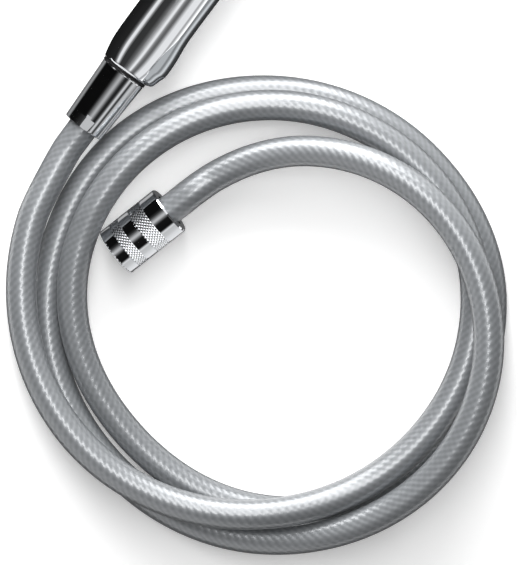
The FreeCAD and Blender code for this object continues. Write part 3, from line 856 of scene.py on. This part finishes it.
@dataclass
class Handle:
    """Front shell and back insert: round handle, bent neck, domed head, and the keel behind."""

    # (height, radius) up the handle, then (x, height, turn, radius) along the neck.
    radii: Stations = ((1.2, 11.5), (2.4, 12.1), (9.7, 13.5), (18.0, 13.9), (40.0, 13.9),
                       (75.0, 13.3), (112.0, 12.2))
    neck: tuple[tuple[float, ...], ...] = (
        (0.0, 112.0, 0.0, 12.2), (-1.3, 124.5, 12.0, 12.0), (-5.2, 136.4, 24.0, 11.8),
        (-13.5, 150.0, 33.0, 11.0), (-22.0, 161.0, 38.0, 8.0))
    neck_start: tuple[float, ...] = (0.0, 12.0, 4.0, -0.3)
    bore: float = 8.3
    head_radius: float = 28.3
    ring_depth: float = 7.8
    dome_depth: float = 30.0
    insert_axis: float = 6.5
    insert_floor: float = 6.9
    insert_radii: Stations = ((1.2, 5.4), (2.3, 7.4), (3.4, 8.3), (6.8, 9.3), (9.7, 10.3),
                              (14.0, 10.4), (19.0, 10.1), (29.0, 9.1), (60.0, 9.0), (92.0, 7.6),
                              (112.0, 4.6))
    seam: float = 0.25

    @staticmethod
    def flowing(stations: Stations, spacing: float = 3.0) -> list[Station]:
        """Closer stations on a smooth curve.

        Args:
            stations: (height, radius) pairs in order.
            spacing: distance between the new ones in millimetres.

        Returns:
            (radius, height) pairs, with the given ones among them.
        """
        slopes = chord_slopes(stations)
        out = []
        for (y0, r0), (y1, r1), leave, arrive in zip(stations, stations[1:], slopes, slopes[1:]):
            rise = y1 - y0
            count = max(2, round(rise / spacing))
            out += [(on_curve(k / count, (r0, r1), (leave * rise, arrive * rise)),
                     y0 + k / count * rise) for k in range(count)]
        return out + [(stations[-1][1], stations[-1][0])]

    def shell(self) -> Piece:
        """Handle and neck pulled as one sleeve, with the head's dome joined on.

        Returns:
            The shell, upright.
        """
        foot, radius = self.radii[0]
        outline = [(0, foot), (self.bore, foot), (radius - 0.5, foot), (radius - 0.1, foot + 0.15)]
        piece = Workbench.lathe("front_shell_body", outline + self.flowing(self.radii)[1:])
        self.pull_neck(piece)
        Workbench.carve(piece, self.dome(), "UNION")
        return piece

    def pull_neck(self, piece: Piece) -> None:
        """Draws the open top of the handle on along the neck, turning and narrowing each ring.

        Args:
            piece: the upright handle.
        """
        Workbench.pick(piece)
        top = max(v.co.z for v in piece.data.vertices)
        for v in piece.data.vertices:
            v.select = abs(v.co.z - top) < 0.01 * MM
        Workbench.edit(everything=False)
        x, y, turn, radius = self.neck[0]
        path = (self.neck[0],) + self.neck + (self.neck[-1],)
        for before, a, b, after in zip(path, path[1:], path[2:], path[3:]):
            leave = self.neck_start if a is before else [(q - p) / 2 for p, q in zip(before, b)]
            arrive = [(q - p) / 2 for p, q in zip(a, after)]
            for k in range(1, 5):
                spot = [on_curve(k / 4, ends, slopes)
                        for ends, slopes in zip(zip(a, b), zip(leave, arrive))]
                Workbench.pull(spot[0] - x, 0, spot[1] - y)
                grow = spot[3] / radius
                centre = (spot[0] * MM, 0, spot[1] * MM)
                bpy.ops.transform.rotate(value=math.radians(spot[2] - turn), orient_axis="Y",
                                         center_override=centre)
                bpy.ops.transform.resize(value=(grow, grow, grow), center_override=centre)
                x, y, turn, radius = spot
        bpy.ops.mesh.edge_face_add()
        Workbench.close()

    def dome(self) -> Piece:
        """Round back of the head.

        Returns:
            The closed form, upright in the handle's own frame.
        """
        low = -self.ring_depth - 0.2
        height = self.dome_depth + low
        sphere = (self.head_radius ** 2 + height ** 2) / (2 * height)
        full = math.asin(min(1.0, self.head_radius / sphere))
        outline = [(0, low), (self.head_radius, low)]
        for i in range(1, 25):
            turn = full * (1 - i / 24)
            outline.append((sphere * math.sin(turn), -self.dome_depth + sphere * (1 - math.cos(turn))))
        piece = Workbench.lathe("head_dome", outline)
        laid = LAY.handset().inverted() @ LAY.head() @ LAID
        Workbench.place(piece, LAID.inverted() @ laid)
        return piece

    def keel(self, drop: float) -> Piece:
        """The insert's round form behind its flat floor, upright in the handle's frame.

        Args:
            drop: how much smaller than the pocket, in millimetres.

        Returns:
            The closed form.
        """
        stations = [(y, r - drop) for y, r in self.insert_radii]
        stations[0] = (stations[0][0] + drop, stations[0][1])
        outline = self.flowing(tuple(stations))
        outline = [(0, outline[0][1])] + outline + [(0, outline[-1][1])]
        piece = Workbench.lathe("keel", outline)
        Workbench.place(piece, Matrix.Translation((self.insert_axis * MM, 0, 0)))
        Workbench.pick(piece)
        Workbench.edit()
        bpy.ops.mesh.bisect(plane_co=(self.insert_floor * MM, 0, 0), plane_no=(1, 0, 0),
                            use_fill=True, clear_inner=True, clear_outer=False)
        Workbench.close()
        return piece

    def build(self) -> list[Piece]:
        """Shapes both pieces and places them.

        Returns:
            The shell and the insert.
        """
        shell = self.shell()
        Workbench.carve(shell, self.keel(0.0))
        Workbench.soften(shell, 0.12, 28)
        insert = self.keel(self.seam)
        insert.name = insert.data.name = "back_insert_keel"
        Workbench.soften(insert, 0.2, 40)
        for piece, node, finish in ((shell, "front_shell", Finish.SHELL_CHROME),
                                    (insert, "back_insert", Finish.SATIN_CHROME)):
            Workbench.smooth(piece, 30)
            Workbench.place(piece, LAY.handset() @ LAID)
            finish.dress(piece)
            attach(piece, "handset")
            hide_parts(node)
        return [shell, insert]


# The nodes that keep their solids, by finish.
KEPT: dict[Finish, tuple[str, ...]] = {
    Finish.CHROME: ("inlet_spigot",),
    Finish.RING_CHROME: ("face_ring", "screw_cap"),
    Finish.BLACK_RUBBER: ("end_seal_ring", "plate_seal", "handset_washer", "supply_washer"),
    Finish.NOZZLE_RUBBER: ("nozzle_mat",),
    Finish.FACE_PLASTIC: ("spray_face",),
    Finish.INNER_PLASTIC: ("inlet_filter", "waterway_tube", "valve_seat", "selector_disc",
                           "supply_slip_ring"),
    Finish.BRASS: ("handset_tail", "supply_tail"),
    Finish.STEEL: ("detent_spring", "detent_ball", "face_screw", "handset_ferrule",
                   "supply_ferrule"),
}


class Sight(Enum):
    """Which reflections show a painted reflection flag: every one, the perfectly sharp ones, or the
    blurred ones.
    """

    ALL = "all"
    MIRROR = "mirror"
    SATIN = "satin"


@dataclass
class Studio:
    """White floor, two soft lights, the glowing flags that paint the reflections on the chrome and the
    hose, and the camera.
    """

    middle: Station = (121.5, -129.1)
    roll: float = 36.87
    distance: float = 1793.0
    hose_level: float = 7.0
    light_level: float = 10.0
    frame_height: float = 260.2
    sensor: float = 36.0
    strip_turn: float = 8.0
    far_reach: float = 1500.0
    handle_line: tuple[float, ...] = (14.2, 0.0, 17.0)
    ring_middle: Station = (152.2, -152.1)
    # (angle from straight up toward +X, brightness) of the painted reflection bands that the metal
    # sees around it.
    far_tones: Stations = (
        (-91, 0.03), (-26, 0.02), (-14, 0.10), (-3, 0.3), (8, 0.4), (16, 0.25), (26, 0.06),
        (45, 0.1), (91, 0.12))
    # (share of the radius toward the piece's own +X, brightness) of the painted reflection bands on
    # each piece, as they are seen from above.
    handle_tones: Stations = (
        (-0.999, 0.012), (-0.6, 0.02), (-0.55, 0.08), (-0.5, 0.3), (-0.46, 0.95), (-0.4, 0.9),
        (-0.35, 0.25), (-0.3, 0.04), (-0.12, 0.04), (-0.05, 0.09), (0.0, 0.14), (0.08, 0.32),
        (0.13, 0.6), (0.17, 0.95), (0.21, 0.95), (0.25, 0.38), (0.3, 0.18), (0.36, 0.13),
        (0.4, 0.25), (0.45, 0.58), (0.5, 0.92), (0.66, 0.95), (0.69, 0.5), (0.72, 0.42),
        (0.755, 0.85), (0.8, 1.5), (0.83, 0.9), (0.855, 0.16), (0.9, 0.08), (0.999, 0.05))
    cone_tones: Stations = (
        (-0.999, 0.5), (-0.95, 0.2), (-0.9, 0.28), (-0.86, 0.36), (-0.82, 0.2), (-0.79, 0.03),
        (-0.76, 0.004), (-0.22, 0.004), (-0.16, 0.03), (-0.1, 0.13), (-0.04, 0.25), (0.0, 0.38),
        (0.06, 0.5), (0.12, 0.35), (0.17, 0.15), (0.22, 0.04), (0.29, 0.01), (0.35, 0.07),
        (0.39, 0.35), (0.43, 0.75), (0.47, 0.55), (0.51, 0.08), (0.56, 0.05), (0.61, 0.5),
        (0.66, 0.65), (0.72, 0.5), (0.79, 0.25), (0.85, 0.55), (0.9, 0.3), (0.95, 0.05),
        (0.999, 0.02))
    supply_tones: Stations = (
        (-0.999, 0.95), (-0.9, 0.9), (-0.8, 0.8), (-0.72, 0.65), (-0.6, 0.6), (-0.54, 0.8),
        (-0.48, 0.05), (-0.45, 0.006), (-0.19, 0.008), (-0.15, 0.05), (-0.1, 0.2), (-0.05, 0.48),
        (0.0, 0.58), (0.06, 0.34), (0.12, 0.12), (0.18, 0.03), (0.26, 0.004), (0.77, 0.004),
        (0.81, 0.08), (0.86, 0.45), (0.92, 0.55), (0.96, 0.1), (0.999, 0.06))
    # Painted reflections that the knurl's facets see toward the hose, then toward the nut's mouth.
    knurl_dark: Stations = (
        (-0.999, 0.8), (-0.7, 0.6), (-0.5, 0.3), (-0.3, 0.12), (0.0, 0.08), (0.2, 0.01),
        (0.8, 0.01), (0.999, 0.3))
    knurl_light: Stations = (
        (-0.999, 0.95), (-0.7, 1.0), (-0.45, 1.9), (0.05, 1.8), (0.2, 0.7), (0.4, 0.35),
        (0.85, 0.25), (0.999, 0.5))

    def spot(self, right: float, up: float, height: float) -> Vector:
        """A point given from the picture's middle, in its right and up directions.

        Args:
            right: millimetres to the right.
            up: millimetres toward the top.
            height: millimetres over the floor.

        Returns:
            The point in metres.
        """
        turn = math.radians(self.roll)
        x = self.middle[0] + right * math.cos(turn) - up * math.sin(turn)
        y = self.middle[1] + right * math.sin(turn) + up * math.cos(turn)
        return Vector((x, y, height)) * MM

    def build_camera(self) -> None:
        """Long lens straight above, rolled so that the handle points up and right."""
        data = bpy.data.cameras.new("camera")
        data.sensor_width = self.sensor
        data.lens = self.sensor * self.distance / self.frame_height
        data.clip_end = 20
        camera = bpy.data.objects.new("camera", data)
        bpy.context.scene.collection.objects.link(camera)
        camera.location = self.spot(0, 0, self.distance + self.hose_level)
        camera.rotation_euler = (0, 0, math.radians(self.roll))
        bpy.context.scene.camera = camera

    def build_floor(self) -> None:
        """White paper floor that keeps the shadows; light bounced from it is held down."""
        Workbench.clear()
        bpy.ops.mesh.primitive_circle_add(vertices=64, radius=3.0, fill_type="NGON")
        floor = bpy.context.object
        floor.name = "floor"
        material = bpy.data.materials.new("White paper floor")
        tree = bare_tree(material)
        seen = self.add_seen(tree)
        paper = add_node(tree, "ShaderNodeMix", {"A": linear("#9a9a9a"), "B": linear("#fafafa")},
                         {"Factor": seen}, data_type="RGBA")
        glow = add_node(tree, "ShaderNodeMath", {1: 0.26}, {0: seen}, operation="MULTIPLY")
        close_surface(tree, {"Emission Color": linear("#ffffff"), "Roughness": 0.9,
                             "Specular IOR Level": 0.0},
                      {"Base Color": paper.outputs["Result"],
                       "Emission Strength": glow.outputs["Value"]})
        floor.data.materials.append(material)

    @staticmethod
    def add_seen(tree: Tree) -> bpy.types.NodeSocket:
        """A socket that is 1 where the camera, or metal or glass, looks at a surface.

        Args:
            tree: the node tree.

        Returns:
            The socket.
        """
        path = add_node(tree, "ShaderNodeLightPath").outputs
        seen = path["Is Camera Ray"]
        for other in ("Is Glossy Ray", "Is Transmission Ray"):
            seen = add_node(tree, "ShaderNodeMath", links={0: seen, 1: path[other]},
                            operation="MAXIMUM").outputs["Value"]
        return seen

    def build_world(self) -> None:
        """Even pale surroundings; the camera, metal and glass see them white."""
        world = bpy.context.scene.world = bpy.data.worlds.new("surroundings")
        tree = bare_tree(world)
        level = add_node(tree, "ShaderNodeMapRange", {"To Min": 0.22, "To Max": 1.0},
                         {"Value": self.add_seen(tree)})
        sky = add_node(tree, "ShaderNodeBackground", {"Color": (1, 1, 1, 1)},
                       {"Strength": level.outputs["Result"]})
        add_node(tree, "ShaderNodeOutputWorld", links={"Surface": sky.outputs["Background"]})

    def add_light(self, name: str, tilt: float, size: Station, watts: float,
                  reach: float = 1000.0) -> None:
        """A rectangular soft light over the picture's middle, leaned toward the picture's top.

        Args:
            name: its name.
            tilt: angle from straight up toward the top of the picture, in degrees.
            size: width, and length along the lean, in metres.
            watts: its power.
            reach: distance in millimetres.
        """
        data = bpy.data.lights.new(name, "AREA")
        data.shape = "RECTANGLE"
        data.size, data.size_y = size
        data.energy = watts
        light = bpy.data.objects.new(name, data)
        bpy.context.scene.collection.objects.link(light)
        turn, lean = math.radians(self.roll + self.strip_turn), math.radians(tilt)
        away = Vector((-math.sin(turn) * math.sin(lean), math.cos(turn) * math.sin(lean),
                       math.cos(lean)))
        light.location = self.spot(0, 0, self.light_level) + away * reach * MM
        light.rotation_euler = (-lean, 0, turn)
        light.visible_camera = False

    def painted_reflection_paper(self, name: str, reach: float, sight: Sight) -> bpy.types.Material:
        """Glowing paper for the painted reflections: it glows as its attribute "tone" says and is
        clear where "cover" is 0.

        Args:
            name: the material's name.
            reach: the tunnel's radius in millimetres; nothing much farther off shows it.
            sight: which reflections show it.

        Returns:
            The material, clear from the outside.
        """
        material = bpy.data.materials.new(name)
        tree = bare_tree(material)
        tone, cover = [add_node(tree, "ShaderNodeAttribute", attribute_name=attribute).outputs["Fac"]
                       for attribute in ("tone", "cover")]
        path = add_node(tree, "ShaderNodeLightPath").outputs
        reasons = [add_node(tree, "ShaderNodeMath", {1: 1.4 * reach * MM}, {0: path["Ray Length"]},
                            operation="GREATER_THAN").outputs["Value"]]
        if sight is Sight.SATIN:
            reasons.append(path["Is Singular Ray"])
        elif sight is Sight.MIRROR:
            reasons.append(add_node(tree, "ShaderNodeMath", {0: 1.0}, {1: path["Is Singular Ray"]},
                                    operation="SUBTRACT").outputs["Value"])
        hidden = add_node(tree, "ShaderNodeNewGeometry").outputs["Backfacing"]
        for reason in reasons:
            hidden = add_node(tree, "ShaderNodeMath", links={0: hidden, 1: reason},
                              operation="MAXIMUM").outputs["Value"]
        shown = add_node(tree, "ShaderNodeMath", links={0: cover, 1: hidden},
                         operation="SUBTRACT", use_clamp=True)
        glow = add_node(tree, "ShaderNodeEmission", links={"Strength": tone})
        clear = add_node(tree, "ShaderNodeBsdfTransparent")
        flag = add_node(tree, "ShaderNodeMixShader", links={0: shown.outputs["Value"],
                                                            1: clear.outputs["BSDF"],
                                                            2: glow.outputs["Emission"]})
        add_node(tree, "ShaderNodeOutputMaterial", links={"Surface": flag.outputs["Shader"]})
        return material

    def add_tunnel(self, name: str, where: Matrix, reach: float, along: tuple[float, ...],
                   tones: Stations, sight: Sight = Sight.ALL) -> None:
        """A tunnel of glowing light and dark flags along a piece's axis, seen only in gloss: it paints
        light and dark bands into the metal's reflections.

        Args:
            name: its name.
            where: placing of the piece, whose axis is Y and whose up is Z.
            reach: its radius in millimetres.
            along: where along Y it starts and ends, with where it is fully there between them.
            tones: (angle, brightness) stations round it.
            sight: which reflections show it.
        """
        Workbench.clear()
        middle = Vector((0, along[0] * MM, 0))
        bpy.ops.mesh.primitive_plane_add(size=1)
        tunnel = bpy.context.object
        tunnel.name = tunnel.data.name = name
        Workbench.edit()
        bpy.ops.mesh.merge(type="CENTER")
        bpy.ops.transform.translate(value=middle + self.ray(tones[0][0]) * reach * MM)
        for (before, _), (after, _) in zip(tones, tones[1:]):
            steps = max(1, math.ceil((after - before) / 4))
            turns = [self.ray(before + (after - before) * k / steps) for k in range(steps + 1)]
            for a, b in zip(turns, turns[1:]):
                Workbench.pull(*(b - a) * reach)
        bpy.ops.mesh.select_all(action="SELECT")
        for start, end in zip(along, along[1:]):
            Workbench.pull(0, end - start, 0)
        bpy.ops.object.mode_set(mode="OBJECT")
        mesh = tunnel.data
        tone = mesh.attributes.new("tone", "FLOAT", "POINT")
        cover = mesh.attributes.new("cover", "FLOAT", "POINT")
        for vertex, level, share in zip(mesh.vertices, tone.data, cover.data):
            offset = vertex.co - middle
            level.value = self.tone_at(tones, math.degrees(math.atan2(offset.x, offset.z)))
            share.value = 0.0 if offset.y < 0.1 * MM and len(along) > 2 else 1.0
        face = mesh.polygons[0]
        if face.normal.dot(face.center - middle) > 0:
            Workbench.edit()
            bpy.ops.mesh.flip_normals()
            bpy.ops.object.mode_set(mode="OBJECT")
        Workbench.place(tunnel, where)
        self.hang(tunnel, self.painted_reflection_paper(name, reach, sight))

    def add_collar(self, name: str, where: Matrix, radius: float, reach: float,
                   along: tuple[float, ...], tones: Stations, sight: Sight = Sight.ALL) -> None:
        """A tunnel of painted reflection bands round one piece, its tones given across the piece as
        seen from above.

        Args:
            name: its name.
            where: placing of the piece, whose axis is Y and whose up is Z.
            radius: the piece's radius in millimetres.
            reach: the tunnel's own radius in millimetres.
            along: where along Y it starts and ends, with where it is fully there between them.
            tones: (share of the radius, brightness) stations.
            sight: which reflections show it.
        """
        finer = [tones[0]]
        for (s0, v0), (s1, v1) in zip(tones, tones[1:]):
            steps = max(1, math.ceil((s1 - s0) / 0.04))
            finer += [(s0 + (s1 - s0) * k / steps, v0 + (v1 - v0) * k / steps)
                      for k in range(1, steps + 1)]
        ring = [(math.degrees(2 * math.asin(share) - math.asin(share * radius / reach)), tone)
                for share, tone in finer]
        self.add_tunnel(name, where, reach, along, tuple(ring), sight)

    @staticmethod
    def ray(angle: float) -> Vector:
        """Direction at an angle in degrees from straight up toward +X."""
        return Vector((math.sin(math.radians(angle)), 0, math.cos(math.radians(angle))))

    @staticmethod
    def tone_at(tones: Stations, angle: float) -> float:
        """Brightness between the two stations on either side of an angle.

        Args:
            tones: (angle, brightness) stations.
            angle: the angle in degrees.

        Returns:
            The brightness.
        """
        for (a0, v0), (a1, v1) in zip(tones, tones[1:]):
            if angle <= a1 + 0.01:
                return v0 + (v1 - v0) * max(0.0, (angle - a0) / (a1 - a0))
        return tones[-1][1]

    @staticmethod
    def hang(card: Piece, paper: bpy.types.Material) -> None:
        """Gives a card its material and leaves it in reflections alone.

        Args:
            card: the card.
            paper: its material.
        """
        card.data.materials.append(paper)
        card.visible_camera = card.visible_diffuse = card.visible_shadow = False
        card.visible_transmission = False

    def painted_reflection_glow(self, card: Piece, tone: float) -> None:
        """Gives a card an even glow, a painted reflection, and hides it from all but reflections.

        Args:
            card: the card.
            tone: its brightness.
        """
        material = bpy.data.materials.new(card.name)
        tree = bare_tree(material)
        glow = add_node(tree, "ShaderNodeEmission", {"Strength": tone})
        add_node(tree, "ShaderNodeOutputMaterial", links={"Surface": glow.outputs["Emission"]})
        self.hang(card, material)

    def add_card(self, name: str, where: Matrix, across: Station, along: Station,
                 tone: float) -> None:
        """A flat glowing card seen only in gloss: a painted reflection.

        Args:
            name: its name.
            where: placing of the plane it lies in.
            across: where it starts and ends along X, in millimetres.
            along: where it starts and ends along Y, in millimetres.
            tone: its brightness.
        """
        Workbench.clear()
        bpy.ops.mesh.primitive_plane_add(size=1)
        card = bpy.context.object
        card.name = name
        card.scale = ((across[1] - across[0]) * MM, (along[1] - along[0]) * MM, 1)
        card.location = (sum(across) / 2 * MM, sum(along) / 2 * MM, 0)
        bpy.ops.object.transform_apply(location=True, rotation=True, scale=True)
        Workbench.place(card, where)
        self.painted_reflection_glow(card, tone)

    def add_painted_shade_ring(self, inner: float, outer: float, tone: float) -> None:
        """Dark glowing ring just over the floor under the coil, seen only in gloss: painted shade in
        the hose's reflections.

        Args:
            inner: its inner radius in millimetres.
            outer: its outer radius in millimetres.
            tone: its brightness.
        """
        Workbench.clear()
        centre = (self.ring_middle[0] * MM, self.ring_middle[1] * MM, 0.3 * MM)
        bpy.ops.mesh.primitive_circle_add(vertices=64, radius=outer * MM, location=centre)
        ring = bpy.context.object
        ring.name = "painted shade ring under the coil"
        bpy.ops.object.transform_apply(location=True, rotation=True, scale=True)
        Workbench.edit()
        Workbench.pull(0, 0, 0)
        bpy.ops.transform.resize(value=(inner / outer, inner / outer, 1), center_override=centre)
        bpy.ops.object.mode_set(mode="OBJECT")
        self.painted_reflection_glow(ring, tone)

    def build(self) -> None:
        """Sets up the camera, the surroundings, the lights and every flag of painted reflection."""
        self.build_camera()
        self.build_floor()
        self.build_world()
        self.add_light("strip overhead", tilt=19, size=(0.20, 1.10), watts=6.6)
        self.add_light("panel at the top", tilt=72, size=(1.10, 1.00), watts=23)
        # Painted reflections: a far tunnel of glowing bands that every glossy surface sees, hidden
        # from the camera and from diffuse light.
        self.add_tunnel("far painted reflection flags", Matrix.Translation(Vector(self.handle_line) * MM),
                        self.far_reach, (-9000, 9000), self.far_tones)
        # Painted reflection bands on the handle and on the cone nut, from glowing tunnels close round
        # them.
        self.add_collar("painted reflections round the handle", LAY.handset(), radius=13.9, reach=26,
                        along=(-9, -6, 118), tones=self.handle_tones)
        self.add_collar("painted reflections round the cone nut", LAY.handset(), radius=10.6, reach=25.6,
                        along=(-60, 3), tones=self.cone_tones, sight=Sight.MIRROR)
        # Painted reflection: a glowing card over the cone nut's wrench flat lightens what the flat
        # reflects.
        self.add_card("painted reflection card over the flat", LAY.handset() @ Matrix.Translation((0, 0, 25 * MM)),
                      across=(-14, 4.2), along=(-38, -26.7), tone=0.6)
        # Painted reflections on the supply nut: dark and light bands for its knurls, more bands for
        # its plain bands.
        for name, reach, along, tones, sight in (
                ("painted dark reflections for the knurls", 45, (-20, 20), self.knurl_dark, Sight.MIRROR),
                ("painted light reflections for the knurls", 45, (20, 66), self.knurl_light, Sight.MIRROR),
                ("painted reflections for the plain bands", 26, (-4, 38), self.supply_tones, Sight.SATIN)):
            self.add_collar(name, LAY.supply(), 11.85, reach, along, tones, sight)
        # Painted dark reflections: glowing dark strips just over the floor, seen only in gloss, darken
        # the lower edges of the handle and the nut.
        for name, across, along, tone in (
                ("painted dark reflection left of the handle", (-200, 1.5), (-92, 240), 0.015),
                ("painted dark reflection left of the nut", (-200, -3), (-160, -92), 0.015),
                ("painted dark reflection right of the handle", (27, 70), (-92, 240), 0.02)):
            self.add_card(name, Matrix.Translation((0, 0, 0.8 * MM)), across, along, tone)
        # Painted shade in the hose's reflections: a dark glowing ring under the coil darkens the gaps
        # between its strands and their edges.
        self.add_painted_shade_ring(inner=55, outer=165, tone=0.12)
        bpy.context.scene.view_settings.view_transform = "Standard"


def main() -> None:
    """Builds the studio, then the sprayer from hose to head, and reports each piece."""
    logging.basicConfig(level=logging.INFO, format="%(name)s: %(message)s")
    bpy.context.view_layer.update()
    Studio().build()
    hose = CoiledHose()
    tube = hose.build()
    nut = KnurledNut().build()
    cone = ConeNut().build()
    pieces = [tube, nut, cone] + Handle().build()
    for finish, names in KEPT.items():
        for name in names:
            finish.dress(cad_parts[name])
    for piece in pieces:
        log.info("%s: %d faces", piece.name, len(piece.data.polygons))


if __name__ == "__main__":
    main()
